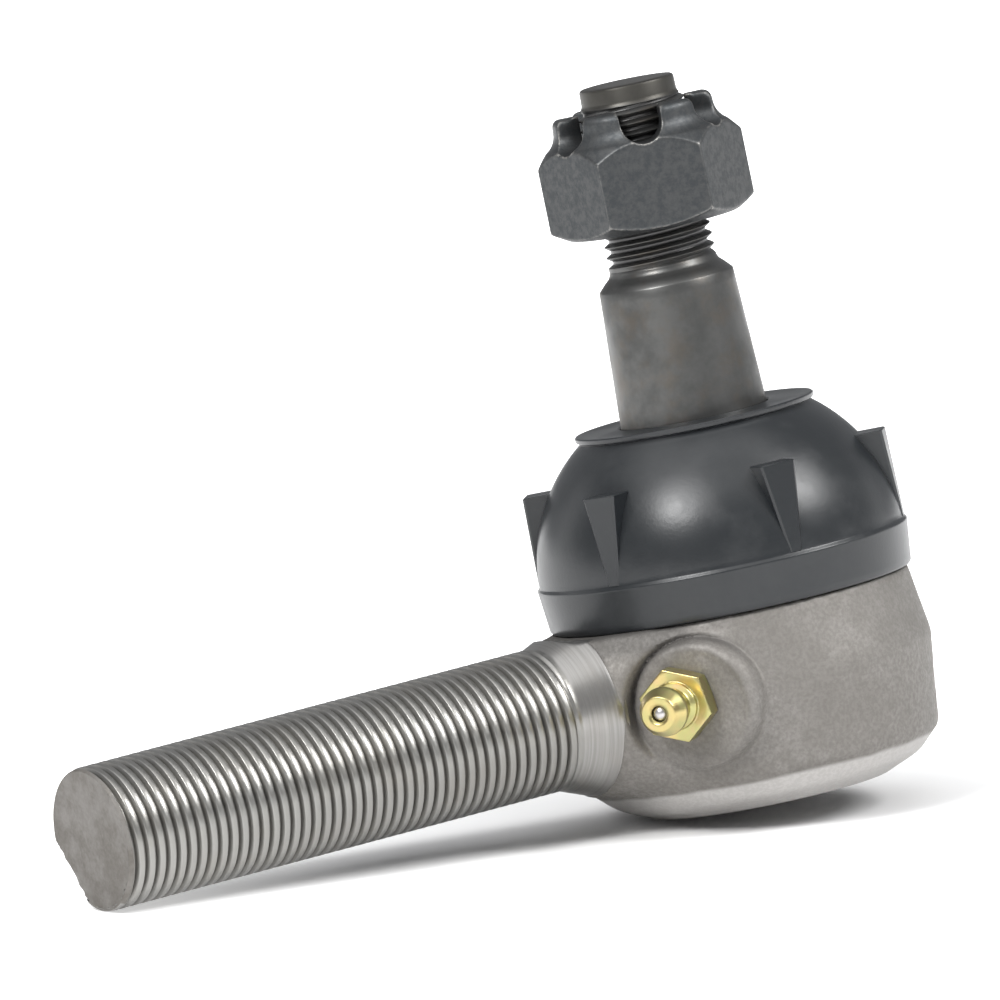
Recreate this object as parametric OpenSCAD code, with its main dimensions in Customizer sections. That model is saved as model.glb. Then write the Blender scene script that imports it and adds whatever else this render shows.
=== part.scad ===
// Tie rod end: a ball stud in a forged housing with an integral threaded shank.
// Millimetres. The origin is the swivel centre, which is the centre of the ball.
// The shank runs along -X, the tapered stud along +Z, and +Z is up.

/* [Threaded shank] */
// Diameter over the thread crests, 3/4 inch
shank_d = 19.05; // [18:0.05:20]
// Threads per inch on the shank
shank_tpi = 16; // [14:1:18]
// Distance from the swivel centre to the free end of the shank
shank_reach = 101.6; // [95:0.1:110]
// Distance from the swivel centre to the inner end of the thread
thread_start = 31.5; // [31:0.1:34]
// Distance from the swivel centre to the wide end of the turned collar
collar_start = 26.7; // [26.5:0.1:28]
// Radius of the forged neck at the wide end of the turned collar
neck_r = 11.4; // [10.8:0.1:11.8]

/* [Forged housing] */
// Radius at the parting line, level with the shank axis
body_r = 24.84; // [24.4:0.02:25.4]
// Radius at the boot seat
seat_r = 23.47; // [23:0.01:24]
// Height of the boot seat
seat_z = 9.3; // [9:0.1:10]
// Radius of the spigot that the boot grips
spigot_r = 19.6; // [19:0.1:20]
// Height of the top of the spigot
spigot_z = 14.2; // [13.5:0.1:14.8]
// Radius above the bevelled lower corner
foot_r = 23.5; // [23:0.1:24]
// Height of the bottom rim
rim_z = -16.9; // [-17.2:0.05:-16.85]
// Radius of the bore that holds the bearings
bore_r = 17; // [16.8:0.1:17.2]

/* [Grease boss and fitting] */
// Direction of the boss around Z, in degrees from +X
boss_angle = 219; // [212:0.5:226]
// Height of the fitting's axis
boss_z = -0.55; // [-2:0.05:0]
// Diameter of the boss pad
boss_d = 17.5; // [15:0.1:18]
// Distance from Z to the face of the boss pad
boss_face = 25.8; // [25.6:0.1:26.4]
// How far the pad's centre lies from the fitting's axis, away from the shank
pad_shift = 1.6; // [0:0.1:2]
// Width across the flats of the fitting's hexagon, 11/32 inch
fitting_af = 8.73; // [7:0.01:9]
// Length of the fitting outside the boss
fitting_len = 9.9; // [9:0.1:10.4]

/* [Ball stud] */
// Diameter of the ball
ball_d = 24; // [23.8:0.1:24.2]
// Radius of the neck above the ball
stud_neck_r = 7.5; // [7:0.1:7.8]
// Radius of the taper level with the boot's top
taper_big_r = 9.75; // [9.6:0.01:9.8]
// Radius of the taper at its small end
taper_small_r = 8.95; // [8.6:0.01:9.2]
// Height of the small end of the taper
taper_top_z = 52.1; // [50:0.1:53]
// Diameter of the stud thread over the crests, 9/16 inch
stud_d = 14.28; // [14:0.01:14.4]
// Threads per inch on the stud
stud_tpi = 18; // [16:1:20]
// Height of the top of the stud
stud_top_z = 78.6; // [78:0.1:80]
// Diameter of the cotter hole
cotter_d = 3.2; // [2:0.1:3.6]

/* [Castle nut] */
// Width across the flats, 15/16 inch
nut_af = 23.8; // [22:0.1:25]
// Height of the nut's bottom face
nut_z = 59.5; // [56:0.1:60]
// Height of the nut from bottom face to crown
nut_h = 16; // [15:0.1:16.5]
// Width of each slot
slot_w = 5.4; // [4:0.1:5.6]
// Direction of one pair of flats around Z, in degrees from +X
nut_angle = 4; // [0:1:59]

/* [Dust boot] */
// Radius of the boot at its bottom edge
boot_bottom_r = 24.15; // [24:0.05:24.6]
// Radius at the top of the collar band
band_r = 24.75; // [24.6:0.05:25.2]
// Height of the top of the collar band
band_z = 15.2; // [15:0.1:16]
// Radius of the dome where it leaves the band
dome_r = 24.4; // [24.2:0.1:24.6]
// Height that the dome's ellipse would reach over the band
dome_h = 23; // [22.8:0.1:23.4]
// Radius of the flat lip on top
lip_r = 15.9; // [15:0.1:16.5]
// Height of the top of the lip
lip_z = 34.06; // [34:0.02:34.5]
// Number of moulded ribs
rib_count = 6; // [4:1:8]
// Direction of the first rib around Z, in degrees from +X
rib_angle = 22.3; // [0:0.1:60]
// Width of a rib across its top
rib_w = 5; // [4:0.1:6]
// Height of the flat tops of the ribs
rib_top_z = 27.5; // [26:0.1:28]

/* [Fits] */
// Radial clearance of the ball and of the bearings in the housing
running = 0.05; // [0.03:0.01:0.08]
// Gap between the boot and the housing or the stud
boot_gap = 0.15; // [0.1:0.01:0.2]

/* [Hidden] */

inch = 25.4;
shank_r = shank_d / 2;
shank_pitch = inch / shank_tpi;
stud_r = stud_d / 2;
stud_pitch = inch / stud_tpi;
ball_r = ball_d / 2;
seat_cut_r = body_r + 3.4;        // the facing cut round the boot seat
shank_chamfer = 0.6;
shear_r = 7.7;                    // distance from the shank axis to the sheared flat
shear_angle = 58;                 // its direction, turned from straight down towards +Y
corner_z = -12.6;                 // where the lower corner is bevelled off
rim_r = 16.1;                     // outer radius of the flat bottom rim
lip_bore_r = 15.6;                // bore of the rim crimped over the cover
cover_r = 17.75;
cover_t = 1.5;
cover_z = -15.4;                  // underside of the cover's edge
cone_z = 3.5;                     // top of the bearing bore
throat_z = 9.4;                   // narrowest level of the stud opening
throat_r = 13.5;
mouth_r = 15;                     // radius of the stud opening at the top of the spigot
bearing_r = bore_r - running;
bearing_top_z = 9;
bearing_split_z = [-0.6, 0.4];    // gap between the two bearings, where grease enters
bearing_floor_z = -12.45;
grease_hole_r = 1.6;
ball_flat_z = -10.6;
ring_t = 1;                       // thickness of the ring in the boot's collar
ring_r = 20.9;                    // inner radius of that ring
ring_z = [10.4, 14.2];
top_ring_r = [11.6, 13.4];
top_ring_z = [31.2, 32.6];
boot_bore_r = 10;
boot_wall = 2.2;
fitting_thread_r = 3.175;
fitting_depth = 5.5;              // length of the fitting's thread in the housing
check_ball_r = 1.2;
check_ball_at = fitting_len - 1.42;             // from the boss face to the centre of the seated ball
chamber_r = 1.35;                 // bore behind the check ball
chamber_start = 4;
eps = 0.01;
$fn = 64;

// Points of a screw profile along the axis: flat crests an eighth of the pitch wide, flat roots
// a quarter, and sides at sixty degrees, which makes the depth 0.54 of the pitch.
function thread_points(crest_r, pitch, from, to) =
    let (depth = 0.5413 * pitch, turns = floor((to - from) / pitch))
    [for (i = [0 : turns - 1], p = [[0, 0], [1, 5 / 16], [1, 9 / 16], [0, 7 / 8]])
        [crest_r - p[0] * depth, from + (i + p[1]) * pitch]];

// Points along an arc about a centre, in degrees.
function arc(centre, r, from, to, steps = 8) =
    [for (i = [0 : steps]) let (a = from + (to - from) * i / steps)
        centre + r * [cos(a), sin(a)]];

// Points up an ellipse that stands on the collar band, from one height to another.
function dome_points(r, h, from, to, steps = 12) =
    [for (i = [0 : steps]) let (z = from + (to - from) * i / steps)
        [r * sqrt(1 - pow((z - band_z) / h, 2)), z]];

module revolve(points) { rotate_extrude() polygon(points); }

module along_shank() { rotate([0, -90, 0]) children(); }

// Places a shape, drawn along +Z from the boss face, on the boss axis.
module on_boss() {
    rotate([0, 0, boss_angle]) translate([boss_face, 0, boss_z]) rotate([0, 90, 0]) children();
}

// ---- housing -------------------------------------------------------------------------------

module shank() {
    along_shank() revolve(concat(
        [[0, 5], [neck_r, 5], [neck_r, collar_start], [shank_r, thread_start]],
        thread_points(shank_r, shank_pitch, thread_start, shank_reach - shank_chamfer),
        [[shank_r - 0.2, shank_reach - shank_chamfer], [shank_r - shank_chamfer, shank_reach],
         [0, shank_reach]]));
}

module body_round() {
    revolve([[0, spigot_z], [spigot_r - 0.5, spigot_z], [spigot_r, spigot_z - 0.5],
             [spigot_r, seat_z], [seat_r, seat_z], [body_r, 0], [foot_r, corner_z + 0.7],
             [foot_r - 0.3, corner_z + 0.3], [foot_r - 0.7, corner_z - 0.15],
             [foot_r - 2.9, corner_z - 2.3], [foot_r - 4.1, corner_z - 2.9],
             [rim_r + 1.3, rim_z + 0.6], [rim_r, rim_z], [0, rim_z]]);
}

// The forged web that fans out from the neck to the sides of the housing.
module neck_fan() {
    hull() {
        along_shank() translate([0, 0, collar_start - 0.6]) cylinder(r = neck_r, h = 0.6, $fn = 48);
        cylinder(r1 = body_r - 0.15, r2 = seat_r - 0.15, h = seat_z, $fn = 72);
        translate([0, 0, corner_z])
            cylinder(r1 = foot_r - 0.7, r2 = body_r - 0.15, h = -corner_z, $fn = 72);
    }
}

module boss_pad() {
    r = boss_d / 2;
    round_r = 1.3;
    on_boss() translate([0.5, pad_shift, 0]) revolve(concat(
        [[0, -8], [r, -8]],
        arc([r - round_r, -round_r], round_r, 0, 90, 5),
        [[0, 0]]));
}

module housing_cavity() {
    revolve([[0, rim_z - 1], [lip_bore_r, rim_z - 1], [lip_bore_r, cover_z], [cover_r, cover_z],
             [cover_r, cover_z + cover_t], [bore_r, cover_z + cover_t], [bore_r, cone_z],
             [throat_r, throat_z], [mouth_r, spigot_z], [mouth_r, spigot_z + 1],
             [0, spigot_z + 1]]);
}

// Facing cut round the boot seat, which also trims the top of the neck.
module seat_facing() {
    revolve([[spigot_r, seat_z], [seat_cut_r, seat_z], [seat_cut_r + 2.5, seat_z + 1.6],
             [seat_cut_r + 2.5, 20], [spigot_r, 20]]);
}

// Spot face that frees the boss pad from the web beside it.
module boss_spot_face() {
    on_boss() translate([0.5, pad_shift, -0.9]) cylinder(r = boss_d / 2 + 0.35, h = 6);
}

module boss_bore() {
    on_boss() {
        translate([0, 0, -fitting_depth - 0.6])
            cylinder(r = fitting_thread_r + running, h = fitting_depth + 1);
        translate([0, 0, -12]) cylinder(r = grease_hole_r, h = 12);
    }
}

// The shear that cut the bar left an oblique flat on one corner of the end face.
module sheared_corner() {
    translate([-shank_reach, 0, 0]) rotate([shear_angle, 0, 0]) translate([0, 0, -shear_r])
        rotate([0, 35, 0]) translate([-5, -shank_r, -shank_r]) cube([20, 2 * shank_r, shank_r]);
}

module housing() {
    color("#8d8781")
    difference() {
        union() {
            difference() {
                union() { body_round(); neck_fan(); shank(); }
                boss_spot_face();
            }
            boss_pad();
        }
        housing_cavity();
        seat_facing();
        boss_bore();
        sheared_corner();
    }
}

// ---- ball joint ----------------------------------------------------------------------------

module upper_bearing() {
    color("#b8b0a0")
    difference() {
        revolve([[9.5, bearing_split_z[1]], [bearing_r, bearing_split_z[1]],
                 [bearing_r, cone_z - 0.1], [throat_r + 0.15, bearing_top_z],
                 [12, bearing_top_z], [10.45, 5.8], [9.5, 5.8]]);
        sphere(r = ball_r + running);
    }
}

module lower_bearing() {
    color("#b8b0a0")
    difference() {
        revolve([[3.8, bearing_floor_z], [bearing_r - 1.4, bearing_floor_z],
                 [bearing_r, bearing_floor_z + 1.1], [bearing_r, bearing_split_z[0]],
                 [9, bearing_split_z[0]], [3.8, -11]]);
        sphere(r = ball_r + running);
    }
}

// Dished spring washer that pushes the lower bearing up against the ball.
module preload_spring() {
    inner_r = 6.5;
    outer_r = 15.5;
    thickness = 0.7;
    dish = 0.6;
    top = bearing_floor_z - 0.1;
    color("#55585c")
    revolve([[inner_r, top], [outer_r, top - dish], [outer_r, top - dish - thickness],
             [inner_r, top - thickness]]);
}

// Pressed disc, held in its counterbore by the rim rolled over it.
module end_cover() {
    dish = 0.8;
    color("#7d7b78")
    revolve([[0, cover_z + cover_t - dish], [10, cover_z + cover_t - dish], [11.5, cover_z + cover_t],
             [cover_r, cover_z + cover_t], [cover_r, cover_z], [12.5, cover_z],
             [11, cover_z - dish], [0, cover_z - dish]]);
}

module ball_stud() {
    slope = (taper_big_r - taper_small_r) / (taper_top_z - lip_z);
    taper_low_z = 26;
    taper_low_r = taper_big_r + slope * (lip_z - taper_low_z);
    thread_low_z = taper_top_z + 1.9;
    thread_high_z = stud_top_z - 2.6;
    tip_r = 6.3;                  // plain point above the thread
    color("#4b4744")
    difference() {
        union() {
            intersection() {
                sphere(r = ball_r);
                translate([0, 0, ball_flat_z]) cylinder(r = 2 * ball_r, h = 3 * ball_r);
            }
            revolve(concat(
                [[0, 0], [stud_neck_r, 0], [stud_neck_r, 14.5], [stud_neck_r + 0.4, 17.5],
                 [9, 21], [taper_low_r - 0.2, 24.5], [taper_low_r, taper_low_z],
                 [taper_small_r, taper_top_z], [stud_r + 0.3, thread_low_z]],
                thread_points(stud_r, stud_pitch, thread_low_z, thread_high_z),
                [[tip_r + 0.25, thread_high_z], [tip_r + 0.05, thread_high_z + 0.4],
                 [tip_r, stud_top_z - 0.3], [tip_r - 0.25, stud_top_z], [0, stud_top_z]]));
        }
        translate([0, 0, nut_z + nut_h - 2]) rotate([0, 0, nut_angle + 120]) rotate([0, 90, 0])
            cylinder(d = cotter_d, h = 3 * stud_r, center = true);
    }
}

module castle_nut() {
    top = nut_z + nut_h;
    flat_r = nut_af / 2;
    corner_r = flat_r / cos(30);
    crown_r = flat_r - 1.2;
    cove_r = 3;
    cove_z = top - 1.6;           // top of the cove between the hexagon and the crown
    color("#3f3f41")
    rotate([0, 0, nut_angle])
    difference() {
        intersection() {
            translate([0, 0, nut_z]) rotate([0, 0, 30]) cylinder(r = corner_r, h = nut_h, $fn = 6);
            revolve(concat(
                [[0, nut_z], [flat_r - 0.6, nut_z], [corner_r, nut_z + 1.4],
                 [corner_r, cove_z - cove_r - 1.4]],
                arc([crown_r + cove_r, cove_z], cove_r, 240, 180, 5),
                [[crown_r, top - 0.6], [crown_r - 0.6, top], [0, top]]));
        }
        translate([0, 0, nut_z - 1]) cylinder(r = stud_r + running, h = nut_h + 2);
        translate([0, 0, nut_z - eps]) cylinder(r1 = stud_r + 1, r2 = stud_r + running, h = 1);
        for (i = [0 : 2]) rotate([0, 0, 60 * i]) castle_slot(top - 4.5);
    }
}

// One slot right across the crown, with a round bottom.
module castle_slot(bottom_z) {
    translate([0, 0, bottom_z + slot_w / 2]) rotate([0, 90, 0]) {
        cylinder(d = slot_w, h = 2 * nut_af, center = true);
        translate([-nut_h / 2, 0, 0]) cube([nut_h, slot_w, 2 * nut_af], center = true);
    }
}

// ---- boot ----------------------------------------------------------------------------------

module boot_rib() {
    foot_z = band_z + 1;
    face_r = dome_r - 0.2;
    intersection() {
        rotate([90, 0, 0]) linear_extrude(2 * rib_w, center = true)
            polygon([[19.4, rib_top_z], [face_r, rib_top_z], [face_r + 0.1, foot_z], [23.2, foot_z]]);
        rotate([90, 0, 90]) linear_extrude(2 * dome_r)
            polygon([[-rib_w / 2, rib_top_z], [-0.5, foot_z], [0.5, foot_z], [rib_w / 2, rib_top_z]]);
    }
}

module dust_boot() {
    dome_top_z = lip_z - 1.06;
    roof_z = 30.2;
    grip_r = spigot_r + boot_gap;
    color("#26272a")
    difference() {
        union() {
            revolve(concat(
                [[grip_r, seat_z + boot_gap], [boot_bottom_r, seat_z + boot_gap], [band_r, band_z]],
                dome_points(dome_r, dome_h, band_z, dome_top_z),
                [[lip_r, dome_top_z + 0.3], [lip_r, lip_z], [boot_bore_r, lip_z],
                 [boot_bore_r, roof_z + 0.6], [boot_bore_r + 0.7, roof_z], [12.5, roof_z]],
                dome_points(dome_r - boot_wall, dome_h - boot_wall, roof_z - 1, band_z + 1),
                [[grip_r, spigot_z + 0.6]]));
            for (i = [0 : rib_count - 1]) rotate([0, 0, rib_angle + 360 / rib_count * i]) boot_rib();
        }
        boot_base_ring_shape();
        boot_top_ring_shape(boot_gap);
    }
}

module ring(inner_r, outer_r, low_z, high_z) {
    revolve([[inner_r, low_z], [outer_r, low_z], [outer_r, high_z], [inner_r, high_z]]);
}

module boot_base_ring_shape() { ring(ring_r, ring_r + ring_t, ring_z[0], ring_z[1]); }

module boot_top_ring_shape(gap) {
    ring(top_ring_r[0] - gap, top_ring_r[1] + gap, top_ring_z[0] - gap, top_ring_z[1] + gap);
}

module boot_base_ring() { color("#8a8c8e") boot_base_ring_shape(); }

module boot_top_ring() { color("#8a8c8e") boot_top_ring_shape(0); }

// ---- grease fitting ------------------------------------------------------------------------

module grease_fitting() {
    hex_len = 3.1;
    head_r = 3.25;
    seat_at = check_ball_at + sqrt(pow(check_ball_r, 2) - pow(1.05, 2)) + 0.04;
    color("#c9a63c")
    on_boss() difference() {
        union() {
            translate([0, 0, -fitting_depth]) cylinder(r = fitting_thread_r, h = fitting_depth + 1);
            intersection() {
                rotate([0, 0, 9.8]) cylinder(r = fitting_af / 2 / cos(30), h = hex_len, $fn = 6);
                revolve([[0, 0], [fitting_af / 2, 0], [fitting_af, 2.5],
                         [fitting_af / 2 + 0.1, hex_len], [0, hex_len]]);
            }
            revolve([[0, 1], [3.1, 1], [3.1, hex_len + 0.5], [2.45, hex_len + 1.1],
                     [2.45, fitting_len - 3.9], [head_r, fitting_len - 2.7],
                     [head_r, fitting_len - 2], [2.3, fitting_len], [0, fitting_len]]);
        }
        translate([0, 0, -fitting_depth - 1]) cylinder(r = 0.9, h = fitting_depth + 6);
        translate([0, 0, chamber_start]) cylinder(r = chamber_r, h = seat_at - chamber_start);
        cylinder(r = 1.05, h = fitting_len + 1);
        translate([0, 0, fitting_len - 0.3]) cylinder(r1 = 1.05, r2 = 1.4, h = 0.31);
    }
}

module grease_check_ball() {
    color("#b9bcc0") on_boss() translate([0, 0, check_ball_at]) sphere(r = check_ball_r);
}

// Envelope of the small coil behind the check ball.
module grease_spring() {
    color("#9a9da1") on_boss() translate([0, 0, chamber_start + 0.05]) difference() {
        cylinder(r = 1.15, h = check_ball_at - check_ball_r - chamber_start - 0.1);
        translate([0, 0, -1]) cylinder(r = 0.8, h = 6);
    }
}

housing();
upper_bearing();
lower_bearing();
preload_spring();
end_cover();
ball_stud();
castle_nut();
dust_boot();
boot_base_ring();
boot_top_ring();
grease_fitting();
grease_check_ball();
grease_spring();
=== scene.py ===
"""The looks of the tie rod end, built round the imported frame. Lengths are in metres.

The origin is the swivel centre. The shank runs along -X, the stud along +Z.
"""

import math

import bmesh
import bpy
import numpy as np
from mathutils import Matrix, Vector, noise


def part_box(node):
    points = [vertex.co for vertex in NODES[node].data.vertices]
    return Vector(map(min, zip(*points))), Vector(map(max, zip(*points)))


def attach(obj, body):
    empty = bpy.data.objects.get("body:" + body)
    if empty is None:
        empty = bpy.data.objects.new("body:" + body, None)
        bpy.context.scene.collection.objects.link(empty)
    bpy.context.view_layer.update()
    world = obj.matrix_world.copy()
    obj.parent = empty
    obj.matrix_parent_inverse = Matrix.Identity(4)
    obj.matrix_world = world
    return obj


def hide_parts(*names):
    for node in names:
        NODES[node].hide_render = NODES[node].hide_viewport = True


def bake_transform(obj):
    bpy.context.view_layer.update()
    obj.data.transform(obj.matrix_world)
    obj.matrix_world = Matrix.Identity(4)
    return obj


MM = 0.001

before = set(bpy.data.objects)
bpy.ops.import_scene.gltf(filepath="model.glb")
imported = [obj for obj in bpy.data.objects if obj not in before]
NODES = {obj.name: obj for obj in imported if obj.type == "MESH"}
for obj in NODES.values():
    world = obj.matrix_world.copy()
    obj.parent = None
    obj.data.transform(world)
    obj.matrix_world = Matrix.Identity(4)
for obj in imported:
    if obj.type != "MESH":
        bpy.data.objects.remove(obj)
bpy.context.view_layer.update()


# ---- camera ---------------------------------------------------------------------------------

CAMERA_AZIMUTH = math.radians(-30.3)
CAMERA_ELEVATION = math.radians(5.06)
CAMERA_ROLL = math.radians(-11.6)      # the part stands leaning on its shank
CAMERA_LENS = 844.5                    # mm on a 36 mm sensor
CAMERA_FROM_ORIGIN = (-32.2 * MM, 21.9 * MM, 3.079)    # right, up, back


def make_camera():
    """Makes the scene's camera and returns its right, up and back directions."""
    data = bpy.data.cameras.new("camera")
    data.lens = CAMERA_LENS
    data.sensor_width = 36
    data.clip_end = 30
    camera = bpy.data.objects.new("camera", data)
    bpy.context.scene.collection.objects.link(camera)
    back = Vector((math.sin(CAMERA_AZIMUTH) * math.cos(CAMERA_ELEVATION),
                   -math.cos(CAMERA_AZIMUTH) * math.cos(CAMERA_ELEVATION),
                   math.sin(CAMERA_ELEVATION)))
    level = Vector((0, 0, 1)).cross(back).normalized()
    upright = back.cross(level)
    right = level * math.cos(CAMERA_ROLL) + upright * math.sin(CAMERA_ROLL)
    up = upright * math.cos(CAMERA_ROLL) - level * math.sin(CAMERA_ROLL)
    x, y, z = CAMERA_FROM_ORIGIN
    turn = Matrix((right, up, back)).transposed().to_4x4()
    camera.matrix_world = Matrix.Translation(right * x + up * y + back * z) @ turn
    bpy.context.scene.camera = camera
    return right, up, back


CAMERA_RIGHT, CAMERA_UP, CAMERA_BACK = make_camera()


# ---- sizes, some of them taken from the frame -----------------------------------------------

HOUSING_LOW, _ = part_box("housing")
STUD_LOW, STUD_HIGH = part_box("ball_stud")
_, NUT_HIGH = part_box("castle_nut")
BOOT_LOW, BOOT_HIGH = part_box("dust_boot")

SHANK_END = -HOUSING_LOW.x
SHANK_R = 9.525 * MM
SHANK_PITCH = 25.4 * MM / 16
SHANK_CHAMFER = 0.4 * MM
SHANK_THREAD_START = 31.5 * MM
COLLAR_START = 26.7 * MM
NECK_R = 11.4 * MM
BODY_TOP = 9.3 * MM
BODY_INNER_R = 18.5 * MM                 # past this radius the forging's surface is its outside
BEVEL_TOP = -12.55 * MM
RIM_Z = HOUSING_LOW.z
RIM_R = 16.1 * MM

BALL_R = 12 * MM
BALL_FLAT = STUD_LOW.z
STUD_NECK_R = 7.5 * MM
TAPER_LOW = (10.1 * MM, 26 * MM)         # radius, height
TAPER_TOP = (8.95 * MM, 51.9 * MM)
STUD_R = 7.14 * MM
STUD_PITCH = 25.4 * MM / 18
STUD_THREAD_START = 54.2 * MM
STUD_TOP = STUD_HIGH.z
STUD_POINT_R = 6.3 * MM
COTTER_R = 1.6 * MM
COTTER_Z = NUT_HIGH.z - 2 * MM
COTTER_ANGLE = math.radians(124)

BOSS_ANGLE = math.radians(219)
BOSS_Z = -0.55 * MM
BOSS_FACE = 25.8 * MM
PAD_CENTRE = (1.6 * MM, -0.85 * MM)      # from the fitting: along the housing, upwards
PAD_R = 8.75 * MM

BAND_Z = 15.2 * MM
BAND_R = 24.15 * MM
DOME_R = 24.4 * MM
DOME_H = 23 * MM
BOOT_WALL = 2.2 * MM
LIP_R = 15.95 * MM
LIP_HOLE_R = 9.9 * MM
LIP_Z = BOOT_HIGH.z
BOOT_ROOF_Z = 30.2 * MM
RIB_COUNT = 6
RIB_ANGLE = math.radians(22.3)
RIB_TOP = 27.5 * MM


# ---- shares of numbers and arrays -----------------------------------------------------------

def fade(value, start, width):
    """0 up to start, 1 from start + width on, straight between."""
    return np.clip((value - start) / width, 0, 1)


def bell(value, centre, width):
    """1 at the centre, falling off to both sides."""
    return np.exp(-((value - centre) / width) ** 2)


def eased(share):
    return share * share * (3 - 2 * share)


# ---- mesh helpers ---------------------------------------------------------------------------

def revolve(profile, segments=128):
    """Points and quads of a surface of revolution about Z; profile is [(radius, height), ...]."""
    turn = np.linspace(0, 2 * math.pi, segments, endpoint=False)
    circle = np.column_stack([np.cos(turn), np.sin(turn)])
    rows = [np.column_stack([circle * r, np.full(segments, z)]) for r, z in profile]
    quads = []
    for i in range(len(profile) - 1):
        for j in range(segments):
            k = (j + 1) % segments
            quads.append((i * segments + j, i * segments + k,
                          (i + 1) * segments + k, (i + 1) * segments + j))
    return np.concatenate(rows), quads


# One pitch of a screw section: how far along the pitch, and how deep as a share of the pitch.
SHARP_SECTION = [(0, 0.03), (0.025, 0), (0.1, 0), (0.125, 0.03), (0.42, 0.51), (0.48, 0.54),
                 (0.64, 0.54), (0.7, 0.51)]
WORN_SECTION = [(0, 0.06), (0.03, 0.015), (0.07, 0), (0.47, 0), (0.51, 0.015), (0.54, 0.06),
                (0.69, 0.36), (0.73, 0.4), (0.81, 0.4), (0.85, 0.36)]


def screw(section, crest_r, pitch, start, end, run_in, end_cut, segments=128):
    """Points and quads of a right-hand thread along Z. Its rows follow the helix.

    The grooves deepen over run_in, and end_cut is the (length, depth) of the chamfer at the end.
    """
    per_turn = len(section)
    rows = []
    u = start - pitch
    while u < end:
        rows += [(u + share * pitch, depth) for share, depth in section]
        u += pitch
    rows.append((u, section[0][1]))
    along, depth = np.array(rows).T
    turn = np.linspace(0, 2 * math.pi, segments, endpoint=False)
    z = np.clip(along[:, None] + pitch * turn[None] / (2 * math.pi), start, end)
    cut_length, cut_depth = end_cut
    r = crest_r - depth[:, None] * pitch * eased(fade(z, start, run_in))
    r = np.minimum(r, crest_r - cut_depth * fade(z, end - cut_length, cut_length))
    points = np.stack([r * np.cos(turn), r * np.sin(turn), z], 2).reshape(-1, 3)
    last = len(rows) - 1
    quads = []
    for i in range(last):
        for j in range(segments):
            k = (j + 1) % segments
            shift = per_turn if k == 0 else 0
            low, high = min(i + shift, last), min(i + 1 + shift, last)
            quads.append((i * segments + j, low * segments + k,
                          high * segments + k, (i + 1) * segments + j))
    return points, quads


def add_object(name, mesh):
    obj = bpy.data.objects.new(name, mesh)
    bpy.context.scene.collection.objects.link(obj)
    return obj


def weld(name, surfaces, place=Matrix.Identity(4)):
    """One mesh object from [(points, faces, material number), ...], welded where they meet."""
    bm = bmesh.new()
    for points, faces, slot in surfaces:
        verts = [bm.verts.new(p) for p in points.tolist()]
        for face in faces:
            if len(set(face)) == len(face):
                bm.faces.new([verts[i] for i in face]).material_index = slot
    bmesh.ops.remove_doubles(bm, verts=bm.verts, dist=1e-6)
    bmesh.ops.dissolve_degenerate(bm, dist=1e-7, edges=bm.edges)
    bmesh.ops.recalc_face_normals(bm, faces=bm.faces)
    mesh = bpy.data.meshes.new(name)
    bm.to_mesh(mesh)
    bm.free()
    mesh.transform(place)
    return add_object(name, mesh)


def joined(name, *parts):
    """One object from several, which keep their own surfaces and material numbers."""
    bm = bmesh.new()
    for obj in parts:
        bm.from_mesh(obj.data)
    mesh = bpy.data.meshes.new(name)
    bm.to_mesh(mesh)
    bm.free()
    for obj in parts:
        bpy.data.objects.remove(obj)
    return add_object(name, mesh)


def evaluated(obj):
    """Applies the object's modifiers to its mesh."""
    bpy.context.view_layer.update()
    shown = obj.evaluated_get(bpy.context.evaluated_depsgraph_get())
    mesh = bpy.data.meshes.new_from_object(shown)
    obj.modifiers.clear()
    old, obj.data = obj.data, mesh
    bpy.data.meshes.remove(old)
    return obj


def combine(obj, other, operation):
    """Adds the other object to obj or cuts it out of obj, and removes it."""
    modifier = obj.modifiers.new("combine", "BOOLEAN")
    modifier.operation = operation
    modifier.solver = "EXACT"
    modifier.object = other
    evaluated(obj)
    bpy.data.objects.remove(other)


def cad_copy(node, name):
    mesh = NODES[node].data.copy()
    mesh.materials.clear()
    return add_object(name, mesh)


def voxels(obj, size):
    """Rebuilds a closed mesh as even quads of that size, which rounds its edges a little."""
    remesh = obj.modifiers.new("voxels", "REMESH")
    remesh.mode = "VOXEL"
    remesh.voxel_size = size
    remesh.use_smooth_shade = True
    return evaluated(obj)


def points_of(mesh):
    co = np.empty(len(mesh.vertices) * 3)
    mesh.vertices.foreach_get("co", co)
    return co.reshape(-1, 3)


def set_points(mesh, co):
    mesh.vertices.foreach_set("co", co.ravel())
    mesh.update()


def normals_of(mesh):
    n = np.empty(len(mesh.vertices) * 3)
    mesh.vertices.foreach_get("normal", n)
    return n.reshape(-1, 3)


def store(mesh, name, values):
    """Keeps one number from 0 to 1 per vertex, for the material to read."""
    layer = mesh.attributes.get(name) or mesh.attributes.new(name, "FLOAT", "POINT")
    layer.data.foreach_set("value", np.clip(values, 0, 1).astype(np.float32))


def stored(mesh, name):
    values = np.empty(len(mesh.vertices))
    mesh.attributes[name].data.foreach_get("value", values)
    return values


class Neighbours:
    """Averages over the vertices that edges join."""

    def __init__(self, mesh):
        ends = np.empty(len(mesh.edges) * 2, np.int64)
        mesh.edges.foreach_get("vertices", ends)
        ends = ends.reshape(-1, 2)
        self.start = np.concatenate([ends[:, 0], ends[:, 1]])
        self.end = np.concatenate([ends[:, 1], ends[:, 0]])
        self.count = len(mesh.vertices)
        self.degree = np.maximum(np.bincount(self.start, minlength=self.count), 1)

    def mean(self, values):
        columns = values.reshape(self.count, -1)
        out = [np.bincount(self.start, c[self.end], self.count) / self.degree for c in columns.T]
        return np.stack(out, 1).reshape(values.shape)


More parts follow.
